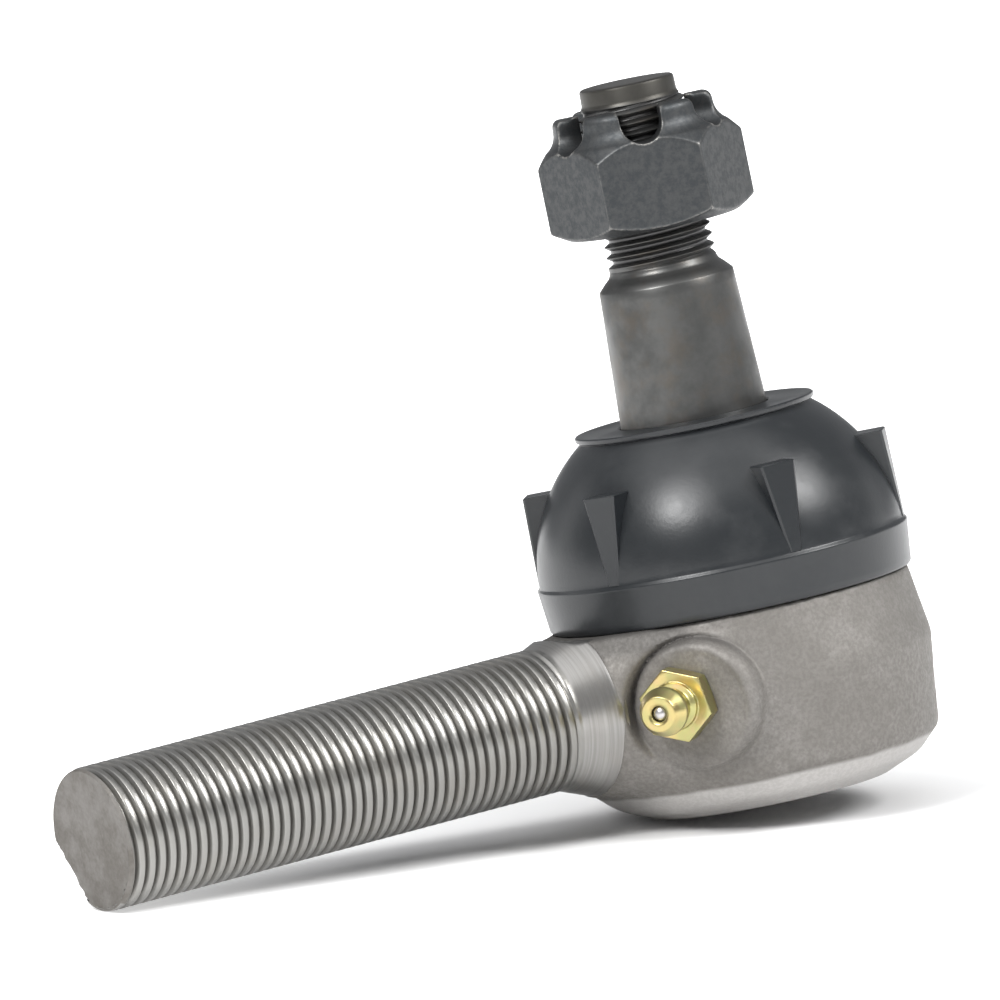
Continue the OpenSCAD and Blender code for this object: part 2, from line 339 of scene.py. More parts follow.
def relax(mesh, passes, weight=1.0):
    """Smooths the mesh where weight is above 0."""
    around = Neighbours(mesh)
    co = points_of(mesh)
    share = np.broadcast_to(np.asarray(weight, float), (len(co),))[:, None] * 0.5
    for _ in range(passes):
        co = co + share * (around.mean(co) - co)
    set_points(mesh, co)


def mark_edges(mesh, spread=3, gain=4.0):
    """Stores how far the surface turns outwards as wear, and how far inwards as cavity."""
    around = Neighbours(mesh)
    co = points_of(mesh)
    inward = around.mean(co) - co
    size = np.linalg.norm(co[around.start] - co[around.end], axis=1).mean()
    bend = -(inward * normals_of(mesh)).sum(1) / size
    for _ in range(spread):
        bend = around.mean(bend)
    store(mesh, "wear", bend * gain)
    store(mesh, "cavity", -bend * gain)


def lumps(co, size, seed, octaves=3):
    """Smooth noise from -1 to 1 at each point."""
    shift = Vector((seed * 3.1, seed * 7.7, seed * 1.3))
    return np.array([noise.fractal(Vector(p) / size + shift, 1.0, 2.0, octaves)
                     for p in co.tolist()])


def finish_mesh(obj, materials, angle=35):
    """Smooth shading with sharp edges past angle degrees, and the materials in order."""
    mesh = obj.data
    if mesh.materials:
        mesh.materials.clear()
    for material in materials:
        mesh.materials.append(material)
    mesh.shade_smooth()
    mesh.set_sharp_from_angle(angle=math.radians(angle))


def stand_in(obj, body, slot, *nodes):
    """obj rides on body and stands for those CAD nodes. slot is not used."""
    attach(obj, body)
    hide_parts(*nodes)


# ---- material helpers -----------------------------------------------------------------------

class Paint:
    """A node material; its methods add nodes and return their outputs."""

    SOCKETS = {"base_color": "Base Color", "metallic": "Metallic", "roughness": "Roughness",
               "specular": "Specular IOR Level", "normal": "Normal"}

    def __init__(self, name):
        self.material = bpy.data.materials.new(name)
        self.material.use_nodes = True
        tree = self.material.node_tree
        self.nodes, self.links = tree.nodes, tree.links
        self.shader = self.nodes["Principled BSDF"]
        self.place = self.nodes.new("ShaderNodeTexCoord").outputs["Object"]

    def put(self, value, socket):
        if hasattr(value, "is_linked"):
            self.links.new(value, socket)
        elif socket.type == "RGBA":
            socket.default_value = (*value, 1)
        else:
            socket.default_value = value

    def set(self, **values):
        """Sets the shader's own sockets: base_color=..., roughness=... and so on."""
        for key, value in values.items():
            self.put(value, self.shader.inputs[self.SOCKETS[key]])
        return self

    def stretched(self, scale):
        node = self.nodes.new("ShaderNodeMapping")
        self.put(self.place, node.inputs["Vector"])
        node.inputs["Scale"].default_value = scale
        return node.outputs["Vector"]

    def noise(self, per_metre, detail=3.0, rough=0.55, place=None):
        node = self.nodes.new("ShaderNodeTexNoise")
        self.put(self.place if place is None else place, node.inputs["Vector"])
        node.inputs["Scale"].default_value = per_metre
        node.inputs["Detail"].default_value = detail
        node.inputs["Roughness"].default_value = rough
        return node.outputs["Fac"]

    def attribute(self, name):
        node = self.nodes.new("ShaderNodeAttribute")
        node.attribute_name = name
        return node.outputs["Fac"]

    def ramp(self, value, low, high, out_low=0.0, out_high=1.0):
        node = self.nodes.new("ShaderNodeMapRange")
        node.interpolation_type = "SMOOTHSTEP"
        self.put(value, node.inputs["Value"])
        for key, number in (("From Min", low), ("From Max", high),
                            ("To Min", out_low), ("To Max", out_high)):
            node.inputs[key].default_value = number
        return node.outputs["Result"]

    def maths(self, operation, a, b):
        node = self.nodes.new("ShaderNodeMath")
        node.operation = operation
        self.put(a, node.inputs[0])
        self.put(b, node.inputs[1])
        return node.outputs[0]

    def length(self, vector):
        node = self.nodes.new("ShaderNodeVectorMath")
        node.operation = "LENGTH"
        self.put(vector, node.inputs[0])
        return node.outputs["Value"]

    def distance_from(self, point):
        node = self.nodes.new("ShaderNodeVectorMath")
        node.operation = "SUBTRACT"
        self.put(self.place, node.inputs[0])
        node.inputs[1].default_value = point
        return self.length(node.outputs["Vector"])

    def mix(self, share, a, b):
        node = self.nodes.new("ShaderNodeMix")
        node.data_type = "RGBA"
        self.put(share, node.inputs["Factor"])
        colours = [s for s in node.inputs if s.type == "RGBA"]
        self.put(a, colours[0])
        self.put(b, colours[1])
        return [s for s in node.outputs if s.type == "RGBA"][0]

    def bump(self, height, distance, strength=1.0, under=None):
        node = self.nodes.new("ShaderNodeBump")
        node.inputs["Strength"].default_value = strength
        node.inputs["Distance"].default_value = distance
        self.put(height, node.inputs["Height"])
        if under is not None:
            self.put(under, node.inputs["Normal"])
        return node.outputs["Normal"]


def forged_steel():
    """Blasted forging: warm grey with a fine sandy grain and faint scale stains. Edges are
    lighter, as wear and as a painted highlight along the ridges. It is darker in concave places,
    with painted shade under the boot and in the crease round the pad. The bevel round the bottom
    is smoother and lighter."""
    clean, stained = (0.205, 0.194, 0.179), (0.248, 0.236, 0.221)
    bevel_dark, bevel_light = (0.44, 0.425, 0.41), (0.51, 0.495, 0.48)
    mottled, sandy = (0.17, 0.158, 0.145), (0.15, 0.14, 0.127)
    wear_and_highlight, hollow_and_shade = (0.52, 0.5, 0.47), (0.09, 0.085, 0.08)
    p = Paint("forged_steel")
    stain = p.ramp(p.noise(95, 4, 0.6), 0.35, 0.68)
    grain = p.noise(1900, 5, 0.6)
    mottle = p.noise(520, 3, 0.5)
    bevel = p.attribute("bevel")
    colour = p.mix(stain, clean, stained)
    colour = p.mix(p.ramp(mottle, 0.35, 0.65, 0, 0.4), colour, mottled)
    colour = p.mix(p.ramp(grain, 0.35, 0.65, 0, 0.5), colour, sandy)
    colour = p.mix(bevel, colour, p.mix(p.ramp(grain, 0.4, 0.62), bevel_dark, bevel_light))
    # Convex edges lighter: wear, and a painted highlight along the ridges.
    colour = p.mix(p.ramp(p.attribute("wear"), 0.25, 0.8, 0, 0.6), colour, wear_and_highlight)
    # Concave places darker; under the boot and in the crease round the pad this is painted shade.
    colour = p.mix(p.ramp(p.attribute("cavity"), 0.15, 0.7, 0, 0.75), colour, hollow_and_shade)
    rough = p.ramp(grain, 0.3, 0.7, 0.5, 0.66)
    rough = p.maths("SUBTRACT", rough, p.maths("MULTIPLY", bevel, 0.1))
    pits = p.bump(p.noise(1500, 5, 0.7), 0.13 * MM, 0.5)
    return p.set(base_color=colour, metallic=0.45, roughness=rough,
                 normal=p.bump(grain, 0.06 * MM, 0.5, pits)).material


def cut_thread():
    """Cut thread: bright along the crests, with painted shade darkening the grooves."""
    groove_shade, crest, stained = (0.15, 0.146, 0.137), (0.29, 0.285, 0.272), (0.24, 0.225, 0.2)
    p = Paint("cut_thread")
    from_axis = p.length(p.stretched((0, 1, 1)))
    at_crest = p.ramp(from_axis, SHANK_R - 0.62 * MM, SHANK_R - 0.05 * MM)
    stain = p.ramp(p.noise(140, 4, 0.6), 0.38, 0.7)
    grain = p.noise(1500, 3, 0.6)
    # Painted shade: the grooves are darker than the crests.
    colour = p.mix(at_crest, groove_shade, crest)
    colour = p.mix(p.maths("MULTIPLY", stain, 0.35), colour, stained)
    return p.set(base_color=colour, metallic=0.9, roughness=p.ramp(grain, 0.3, 0.7, 0.28, 0.38),
                 normal=p.bump(grain, 0.03 * MM, 0.4)).material


def turned_collar():
    """Turned steel behind the thread: fine rings round the shank axis, which is X."""
    light, dark, stained = (0.345, 0.338, 0.327), (0.272, 0.265, 0.254), (0.27, 0.25, 0.23)
    p = Paint("turned_collar")
    rings = p.noise(1, 2, 0.6, p.stretched((4200, 40, 40)))
    stain = p.ramp(p.noise(160, 4, 0.6), 0.42, 0.7)
    colour = p.mix(p.ramp(rings, 0.3, 0.7), light, dark)
    colour = p.mix(p.maths("MULTIPLY", stain, 0.3), colour, stained)
    return p.set(base_color=colour, metallic=0.9, roughness=p.ramp(rings, 0.3, 0.7, 0.28, 0.34),
                 normal=p.bump(rings, 0.02 * MM, 0.4)).material


def sheared_face():
    """The cut end of the bar: matt, mottled."""
    p = Paint("sheared_face")
    blotch = p.ramp(p.noise(260, 4, 0.6), 0.35, 0.68)
    grain = p.noise(1800, 3, 0.6)
    dents = p.bump(p.noise(400, 3), 0.2 * MM, 0.5)
    return p.set(base_color=p.mix(blotch, (0.13, 0.12, 0.107), (0.185, 0.175, 0.163)),
                 metallic=0.5, roughness=p.ramp(grain, 0.3, 0.7, 0.5, 0.66),
                 normal=p.bump(grain, 0.05 * MM, 0.5, dents)).material


def stud_steel():
    """Heat-treated stud: dark brown-grey with soft stains, ground on the taper, with painted
    shade in the grooves of the thread, and darker at its point."""
    clean, stained, brown = (0.075, 0.076, 0.074), (0.12, 0.12, 0.117), (0.12, 0.095, 0.07)
    groove_shade, point = (0.07, 0.07, 0.07), (0.072, 0.069, 0.062)
    p = Paint("stud_steel")
    stain = p.ramp(p.noise(110, 5, 0.6), 0.36, 0.66)
    warm = p.ramp(p.noise(240, 4, 0.6), 0.45, 0.7)
    colour = p.mix(stain, clean, stained)
    colour = p.mix(p.maths("MULTIPLY", warm, 0.35), colour, brown)
    from_axis = p.length(p.stretched((1, 1, 0)))
    in_groove = p.ramp(from_axis, STUD_R - 0.75 * MM, STUD_R + 0.1 * MM, 0.85, 0)
    # Painted shade in the grooves of the thread.
    colour = p.mix(in_groove, colour, groove_shade)
    height = p.length(p.stretched((0, 0, 1)))
    at_point = p.ramp(height, STUD_TOP - 2.8 * MM, STUD_TOP - 2.3 * MM)
    colour = p.mix(at_point, colour, point)
    ground = p.noise(1, 2, 0.6, p.stretched((150, 150, 5200)))
    return p.set(base_color=colour, metallic=0.9, roughness=p.ramp(stain, 0, 1, 0.44, 0.36),
                 normal=p.bump(ground, 0.01 * MM, 0.4)).material


def phosphate_steel():
    """The nut: dark phosphate, rubbed light along its edges."""
    dark, light = (0.047, 0.051, 0.054), (0.072, 0.074, 0.075)
    bare, darkening = (0.42, 0.405, 0.38), (0.03, 0.03, 0.03)
    p = Paint("phosphate_steel")
    mottle = p.ramp(p.noise(900, 6, 0.75), 0.35, 0.65)
    grain = p.noise(2400, 3, 0.6)
    rubbed = p.maths("MULTIPLY", p.ramp(p.attribute("wear"), 0.2, 0.75),
                     p.ramp(grain, 0.3, 0.6))
    colour = p.mix(rubbed, p.mix(mottle, dark, light), bare)
    # Darker in concave places.
    colour = p.mix(p.ramp(p.attribute("cavity"), 0.2, 0.8, 0, 0.6), colour, darkening)
    return p.set(base_color=colour, metallic=0.8, roughness=p.ramp(mottle, 0, 1, 0.5, 0.42),
                 normal=p.bump(grain, 0.03 * MM, 0.45)).material


def black_rubber():
    """The boot: moulded black rubber with a soft sheen and a little dust."""
    p = Paint("black_rubber")
    haze = p.ramp(p.noise(120, 4, 0.6), 0.38, 0.72)
    grain = p.noise(1900, 3, 0.6)
    return p.set(base_color=p.mix(haze, (0.013, 0.015, 0.017), (0.021, 0.023, 0.025)),
                 roughness=p.ramp(haze, 0, 1, 0.3, 0.38), specular=0.5,
                 normal=p.bump(grain, 0.03 * MM, 0.35)).material


def yellow_zinc():
    """The grease fitting: bright yellow passivate with a faint green and rose play."""
    yellow, green, pink = (0.55, 0.44, 0.19), (0.46, 0.44, 0.19), (0.6, 0.37, 0.25)
    p = Paint("yellow_zinc")
    play = p.ramp(p.noise(330, 3, 0.5), 0.36, 0.64)
    rose = p.ramp(p.noise(520, 3, 0.5), 0.5, 0.7)
    colour = p.mix(play, yellow, green)
    colour = p.mix(p.maths("MULTIPLY", rose, 0.3), colour, pink)
    colour = p.mix(p.ramp(p.attribute("cavity"), 0.2, 0.8, 0, 0.8), colour, (0.12, 0.08, 0.03))
    return p.set(base_color=colour, metallic=1.0, roughness=p.ramp(play, 0, 1, 0.28, 0.34),
                 normal=p.bump(p.noise(1400, 2), 0.02 * MM, 0.3)).material


def plain_steel(name, colour, roughness, rings_along_z=True):
    """Ground or pressed steel for the inner parts."""
    p = Paint(name)
    stretch = (60, 60, 3000) if rings_along_z else (800, 800, 800)
    rings = p.noise(1, 2, 0.6, p.stretched(stretch))
    darker = tuple(c * 0.8 for c in colour)
    return p.set(base_color=p.mix(p.ramp(rings, 0.3, 0.7), colour, darker), metallic=1.0,
                 roughness=p.ramp(rings, 0.3, 0.7, roughness, roughness + 0.1),
                 normal=p.bump(rings, 0.01 * MM, 0.4)).material


# ---- housing --------------------------------------------------------------------------------

THREAD, COLLAR, END_FACE = 1, 2, 3       # material numbers; the forging itself is 0


def shank_surfaces():
    """The turned collar, the thread and the cut end, along Z from the swivel centre."""
    inside = COLLAR_START - 1.2 * MM
    step_in = 0.1 * MM                   # the collar starts this much below the neck's radius
    collar = [(0, inside), (NECK_R - step_in, inside), (NECK_R - step_in, COLLAR_START)]
    steps = 16
    for i in range(steps + 1):
        share = i / steps
        z = COLLAR_START + (SHANK_THREAD_START - COLLAR_START) * share
        collar.append((NECK_R + (SHANK_R - NECK_R) * share - step_in * (1 - share), z))
    end_r = SHANK_R - SHANK_CHAMFER
    face = [(end_r * (1 - i / steps), SHANK_END) for i in range(steps + 1)]
    thread = screw(WORN_SECTION, SHANK_R, SHANK_PITCH, SHANK_THREAD_START, SHANK_END,
                   SHANK_PITCH * 1.5, (SHANK_CHAMFER, SHANK_CHAMFER))
    return [(*revolve(collar), COLLAR), (*thread, THREAD), (*revolve(face), END_FACE)]


def face_collar(mesh):
    """The facing cut round the boot's seat also takes the top off the collar."""
    cut_r, cut_width = 28.24 * MM, 2.5 * MM
    co = points_of(mesh)
    reach = np.hypot(co[:, 0], co[:, 1]) - cut_r
    limit = BODY_TOP + 0.64 * np.clip(reach, 0, cut_width)
    co[:, 2] = np.where(reach < cut_width, np.minimum(co[:, 2], limit), co[:, 2])
    set_points(mesh, co)


def paint_end_face(mesh):
    """Gives the end of the shank and its chamfer the sheared material."""
    for face in mesh.polygons:
        if face.center.x < -SHANK_END + 0.5 * MM and face.normal.x < -0.3:
            face.material_index = END_FACE


def shear_corner(mesh):
    """The oblique flat that the shear left on the far lower corner of the end face."""
    down, slope = math.radians(32), math.radians(35)
    flat_start = 7.7 * MM
    co = points_of(mesh)
    reach = co[:, 1] * math.cos(down) - co[:, 2] * math.sin(down)
    limit = -SHANK_END + np.maximum(reach - flat_start, 0) / math.tan(slope)
    dents = 0.06 * MM * lumps(co / MM, 3.5, 4)
    near_end = co[:, 0] < -SHANK_END + 0.02 * MM
    co[:, 0] = np.where(near_end, co[:, 0] + np.abs(dents), co[:, 0])
    co[:, 0] = np.maximum(co[:, 0], limit)
    set_points(mesh, co)


def from_pad(co):
    """Where each point lies from the axis of the boss pad: along the housing, and upwards."""
    along = co[:, 1] * math.cos(BOSS_ANGLE) - co[:, 0] * math.sin(BOSS_ANGLE) - PAD_CENTRE[0]
    return along, co[:, 2] - BOSS_Z - PAD_CENTRE[1]


def pad_distance(co):
    """Distance of each point from the axis of the boss pad, large on the far side."""
    outwards = co[:, 0] * math.cos(BOSS_ANGLE) + co[:, 1] * math.sin(BOSS_ANGLE)
    return np.hypot(*from_pad(co)) + (outwards < 10 * MM) * 1.0


def pad_turn(co):
    """Direction of each point round the axis of the boss pad."""
    along, upwards = from_pad(co)
    return np.arctan2(upwards, along)


def crease_share(co):
    """The crease round the pad is deepest above it and on its shank side."""
    return 0.15 + 0.85 * np.clip(np.cos(pad_turn(co) - math.radians(120)) + 0.35, 0, 1)


def near_crease(co, width):
    return bell(pad_distance(co), PAD_R + 0.15 * MM, width)


def pad_relief(co):
    """How far the crease round the boss pad goes in, less the swelling of the pad inside it."""
    off_collar = fade(co[:, 0], 0.5 * MM - COLLAR_START, 1.5 * MM)
    crease = 1.05 * MM * crease_share(co) * near_crease(co, 0.38 * MM) * off_collar
    swell = 0.22 * MM * np.clip(np.cos(pad_turn(co) - math.radians(30)), 0, 1)
    depth = crease - swell * bell(pad_distance(co), PAD_R - 1.1 * MM, 0.6 * MM)
    return depth[:, None] * np.array([math.cos(BOSS_ANGLE), math.sin(BOSS_ANGLE), 0])


def forging_without_shank():
    """The forging as even quads, from its CAD solid cut off and closed behind the collar."""
    obj = cad_copy("housing", "forging")
    bm = bmesh.new()
    bm.from_mesh(obj.data)
    bmesh.ops.remove_doubles(bm, verts=bm.verts, dist=1e-6)
    cut = bmesh.ops.bisect_plane(bm, geom=[*bm.verts, *bm.edges, *bm.faces], dist=1e-7,
                                 plane_co=(-COLLAR_START - 0.05 * MM, 0, 0),
                                 plane_no=(-1, 0, 0), clear_outer=True)
    rim = [e for e in cut["geom_cut"] if isinstance(e, bmesh.types.BMEdge)]
    bmesh.ops.holes_fill(bm, edges=rim, sides=0)
    bmesh.ops.recalc_face_normals(bm, faces=bm.faces)
    bm.to_mesh(obj.data)
    bm.free()
    return voxels(obj, 0.36 * MM)


def soften_forging(mesh):
    """Blends the neck into the body and the boss pad into the wall, as a forging die does."""
    co = points_of(mesh)
    pad = pad_distance(co)
    outside = np.hypot(co[:, 0], co[:, 1]) > BODY_INNER_R
    neck = fade(-co[:, 0], 13 * MM, 5 * MM) * (co[:, 0] > -COLLAR_START + 0.8 * MM)
    neck = neck * fade(pad, 9.2 * MM, 2.5 * MM) * (co[:, 2] < BODY_TOP - 0.7 * MM)
    below_top = np.abs(co[:, 2] - BODY_TOP) > 1 * MM
    relax(mesh, 3, outside * 1.0)
    relax(mesh, 60, neck * outside)
    relax(mesh, 8, outside * (pad > 9.6 * MM) * below_top)
    relax(mesh, 24, bell(pad, PAD_R + 0.4 * MM, 1.0 * MM) * outside)
    return outside


def forged_body():
    """The forging without its shank: softened, creased round the pad and slightly uneven."""
    obj = forging_without_shank()
    mesh = obj.data
    outside = soften_forging(mesh)
    co = points_of(mesh)
    co -= pad_relief(co)
    uneven = 0.10 * MM * lumps(co / MM, 7.0, 1) + 0.035 * MM * lumps(co / MM, 1.6, 2, 4)
    above_bevel = co[:, 2] > BEVEL_TOP + 0.15 * MM
    uneven *= outside * (co[:, 0] > -COLLAR_START + 0.3 * MM) * above_bevel
    set_points(mesh, co + normals_of(mesh) * uneven[:, None])
    mark_edges(mesh)
    # Painted shade: the neck under the boot's overhang and the crease round the pad are darkened
    # through the cavity layer.
    under_boot = 0.78 * fade(-co[:, 0], 15 * MM, 4 * MM) * fade(co[:, 2], 5 * MM, 3 * MM)
    in_crease = 0.75 * crease_share(co) * near_crease(co, 0.35 * MM)
    darkening = np.maximum(under_boot, in_crease)
    store(mesh, "cavity", np.maximum(stored(mesh, "cavity"), darkening))
    ragged = 0.25 * MM * lumps(co / MM, 4.0, 3)
    store(mesh, "bevel", fade(ragged - co[:, 2], -BEVEL_TOP, 0.5 * MM))
    return obj


def make_housing():
    along_shank = Matrix.Rotation(-math.pi / 2, 4, "Y")
    shank = weld("shank", shank_surfaces(), along_shank)
    face_collar(shank.data)
    paint_end_face(shank.data)
    shear_corner(shank.data)
    housing = joined("forged_housing", forged_body(), shank)
    finish_mesh(housing, [forged_steel(), cut_thread(), turned_collar(), sheared_face()], 40)
    stand_in(housing, "socket", "forged_steel", "housing")


# ---- stud and nut ---------------------------------------------------------------------------

def stud_profile_below():
    """Outline of the ball, neck and taper, from the ball's flat up to the start of the thread."""
    neck_low = 13 * MM
    (low_r, low_z), (top_r, top_z) = TAPER_LOW, TAPER_TOP
    outline = [(0, BALL_FLAT), (math.sqrt(BALL_R ** 2 - BALL_FLAT ** 2), BALL_FLAT)]
    ball = np.linspace(math.asin(BALL_FLAT / BALL_R), math.acos(STUD_NECK_R / BALL_R), 40)
    outline += [(BALL_R * math.cos(a), BALL_R * math.sin(a)) for a in ball[1:]]
    outline += [(STUD_NECK_R + (low_r - STUD_NECK_R) * eased(s),
                 neck_low + (low_z - neck_low) * s) for s in np.linspace(0, 1, 12)]
    outline += [(low_r + (top_r - low_r) * s, low_z + (top_z - low_z) * s)
                for s in np.linspace(0, 1, 20)[1:]]
    outline += [(8.85 * MM, 52.1 * MM), (8.0 * MM, 53.0 * MM), (7.45 * MM, 53.5 * MM),
                (STUD_R + 0.12 * MM, 53.8 * MM), (STUD_R, STUD_THREAD_START)]
    return outline


def stud_point(thread_end, end_r):
    """The unthreaded point above the thread, with a soft rim and a shallow centre."""
    top, r = STUD_TOP, STUD_POINT_R
    return [(end_r, thread_end), (r + 0.1 * MM, thread_end + 0.3 * MM),
            (r + 0.04 * MM, thread_end + 0.6 * MM), (r, top - 0.4 * MM),
            (r - 0.08 * MM, top - 0.15 * MM), (r - 0.3 * MM, top - 0.02 * MM),
            (4.5 * MM, top), (2 * MM, top - 0.05 * MM), (0, top - 0.05 * MM)]


def cotter_drill():
    reach = 10 * MM
    rod = [(0, -reach), (COTTER_R, -reach), (COTTER_R, reach), (0, reach)]
    place = (Matrix.Translation((0, 0, COTTER_Z)) @ Matrix.Rotation(COTTER_ANGLE, 4, "Z")
             @ Matrix.Rotation(math.pi / 2, 4, "Y"))
    return weld("drill", [(*revolve(rod, 48), 0)], place)


def make_stud():
    thread_end = STUD_TOP - 2.6 * MM
    cut_length, cut_depth = 0.5 * MM, 0.55 * MM
    below = revolve(stud_profile_below())
    thread = screw(SHARP_SECTION, STUD_R, STUD_PITCH, STUD_THREAD_START, thread_end,
                   STUD_PITCH * 0.8, (cut_length, cut_depth))
    point = revolve(stud_point(thread_end, STUD_R - cut_depth))
    stud = weld("ball_stud_forging", [(*below, 0), (*thread, 0), (*point, 0)])
    combine(stud, cotter_drill(), "DIFFERENCE")
    finish_mesh(stud, [stud_steel()], 30)
    stand_in(stud, "stud", "stud_steel", "ball_stud")


def make_nut():
    nut = voxels(cad_copy("castle_nut", "slotted_nut"), 0.17 * MM)
    relax(nut.data, 4)
    co = points_of(nut.data)
    crown = fade(co[:, 2], NUT_HIGH.z - 2 * MM, 1.2 * MM)
    relax(nut.data, 24, crown * (np.hypot(co[:, 0], co[:, 1]) > STUD_R + 1 * MM))
    mark_edges(nut.data, 2, 6.0)
    finish_mesh(nut, [phosphate_steel()], 60)
    stand_in(nut, "stud", "phosphate_steel", "castle_nut")


# ---- boot -----------------------------------------------------------------------------------

def dome_outline(r, h, low, high, steps=30):
    """Points up the dome's ellipse, which stands on the collar band."""
    return [(r * math.sqrt(1 - ((z - BAND_Z) / h) ** 2), z)
            for z in np.linspace(low, high, steps)]


def boot_outline():
    """Closed outline of the boot, from its lower outer edge up and back down inside."""
    foot_z = BOOT_LOW.z - 0.1 * MM
    lip_top_r = LIP_R - 0.55 * MM
    outline = [(20 * MM, foot_z), (BAND_R - 0.55 * MM, foot_z),
               (BAND_R - 0.2 * MM, foot_z + 0.08 * MM), (BAND_R, foot_z + 0.35 * MM)]
    outline += [(BAND_R + 0.55 * MM * s, foot_z + 0.35 * MM + (BAND_Z - foot_z - 0.6 * MM) * s)
                for s in np.linspace(0.15, 1, 8)]
    outline += [(BAND_R + 0.57 * MM, BAND_Z - 0.1 * MM),
                (BAND_R + 0.51 * MM, BAND_Z + 0.08 * MM),
                (BAND_R + 0.31 * MM, BAND_Z + 0.28 * MM)]
    outline += dome_outline(DOME_R, DOME_H, BAND_Z + 0.5 * MM, LIP_Z - 1.15 * MM)
    outline += [(LIP_R - 0.5 * MM, LIP_Z - 0.95 * MM), (LIP_R - 0.35 * MM, LIP_Z - 0.8 * MM),
                (LIP_R - 0.07 * MM, LIP_Z - 0.7 * MM), (LIP_R, LIP_Z - 0.55 * MM),
                (LIP_R, LIP_Z - 0.18 * MM), (LIP_R - 0.15 * MM, LIP_Z - 0.03 * MM),
                (lip_top_r, LIP_Z)]
    outline += [(lip_top_r - 5.2 * MM * s, LIP_Z - 0.12 * MM * math.sin(math.pi * s))
                for s in np.linspace(0.1, 1, 8)]
    outline += [(LIP_HOLE_R + 0.05 * MM, LIP_Z - 0.2 * MM), (LIP_HOLE_R, LIP_Z - 1 * MM),
                (LIP_HOLE_R + 0.05 * MM, BOOT_ROOF_Z + 0.6 * MM), (10.6 * MM, BOOT_ROOF_Z),
                (12.5 * MM, BOOT_ROOF_Z)]
    outline += dome_outline(DOME_R - BOOT_WALL, DOME_H - BOOT_WALL, BOOT_ROOF_Z - 1 * MM,
                            BAND_Z + 1 * MM, 24)
    outline += [(19.8 * MM, 14.8 * MM), (19.75 * MM, 12 * MM)]
    return outline + outline[:1]


def rib_section(inner, outer, half, corner):
    """A rib seen from above, as (radius, sideways): a box with its outer corners cut off."""
    side = [(inner, half), (outer - corner, half), (outer, half - corner)]
    return [(r, -t) for r, t in side] + side[::-1]


def rib(angle):
    """One moulded rib: a wedge, wide and flat on top, that narrows down the dome."""
    foot_z = BAND_Z + 0.5 * MM
    half_top, half_foot = 2.5 * MM, 0.9 * MM
    inner_top, inner_foot = 19.4 * MM, 23.2 * MM
    top_round = 0.15 * MM
    steps = 12
    levels = []
    for i in range(steps + 1):
        s = i / steps
        z = RIB_TOP + (foot_z - RIB_TOP) * s
        half = half_top + (half_foot - half_top) * s
        outer = BAND_R + 0.37 * MM * s
        inner = inner_top + (inner_foot - inner_top) * s ** 0.9
        corner = 0.28 * MM * min(1, half / MM)
        if i == 0:
            levels.append((z, rib_section(inner, outer - top_round, half - top_round,
                                          corner - 0.05 * MM)))
            z -= top_round
        levels.append((z, rib_section(inner, outer, half, corner)))
    bm = bmesh.new()
    rings = [[bm.verts.new((r, t, z)) for r, t in section] for z, section in levels]
    for low, high in zip(rings, rings[1:]):
        for j in range(len(low)):
            k = (j + 1) % len(low)
            bm.faces.new((low[j], low[k], high[k], high[j]))
    bm.faces.new(rings[0])
    bm.faces.new(rings[-1])
    bmesh.ops.recalc_face_normals(bm, faces=bm.faces)
    mesh = bpy.data.meshes.new("rib")
    bm.to_mesh(mesh)
    bm.free()
    mesh.transform(Matrix.Rotation(angle, 4, "Z"))
    return add_object("rib", mesh)


def make_boot():
    boot = weld("rubber_boot", [(*revolve(boot_outline(), 180), 0)])
    ribs = [rib(RIB_ANGLE + 2 * math.pi * i / RIB_COUNT) for i in range(RIB_COUNT)]
    combine(boot, joined("ribs", *ribs), "UNION")
    finish_mesh(boot, [black_rubber()], 38)
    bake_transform(boot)
    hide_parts("dust_boot")


# ---- grease fitting -------------------------------------------------------------------------

def on_boss():
    """Carries a shape drawn along Z from the boss face onto the boss axis."""
    return (Matrix.Rotation(BOSS_ANGLE, 4, "Z") @ Matrix.Translation((BOSS_FACE, 0, BOSS_Z))
            @ Matrix.Rotation(math.pi / 2, 4, "Y"))


def make_fitting():
    fitting = voxels(cad_copy("grease_fitting", "grease_nipple"), 0.1 * MM)
    relax(fitting.data, 3)
    mark_edges(fitting.data, 2, 5.0)
    finish_mesh(fitting, [yellow_zinc()], 60)
    stand_in(fitting, "socket", "yellow_zinc", "grease_fitting")


def make_grease_spring():
    """The coil behind the check ball."""
    coil_r, wire_r = 0.98 * MM, 0.13 * MM
    low, high = 4.2 * MM, 7.1 * MM
    turns, steps, sides = 5, 120, 8
    points, quads = [], []
    for i in range(steps + 1):
        a = 2 * math.pi * turns * i / steps
        z = low + (high - low) * i / steps
        centre = Vector((coil_r * math.cos(a), coil_r * math.sin(a), z))
        out = Vector((math.cos(a), math.sin(a), 0))
        for j in range(sides):
            b = 2 * math.pi * j / sides
            points.append(centre + wire_r * (out * math.cos(b) + Vector((0, 0, math.sin(b)))))
    for i in range(steps):
        for j in range(sides):
            k = (j + 1) % sides
            quads.append((i * sides + j, i * sides + k, (i + 1) * sides + k,
                          (i + 1) * sides + j))
    quads.append(tuple(range(sides)))
    quads.append(tuple(steps * sides + j for j in range(sides)))
    spring = weld("check_spring", [(np.array(points), quads, 0)], on_boss())
    finish_mesh(spring, [plain_steel("spring_wire", (0.5, 0.5, 0.5), 0.28, False)])
    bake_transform(spring)
    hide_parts("grease_spring")


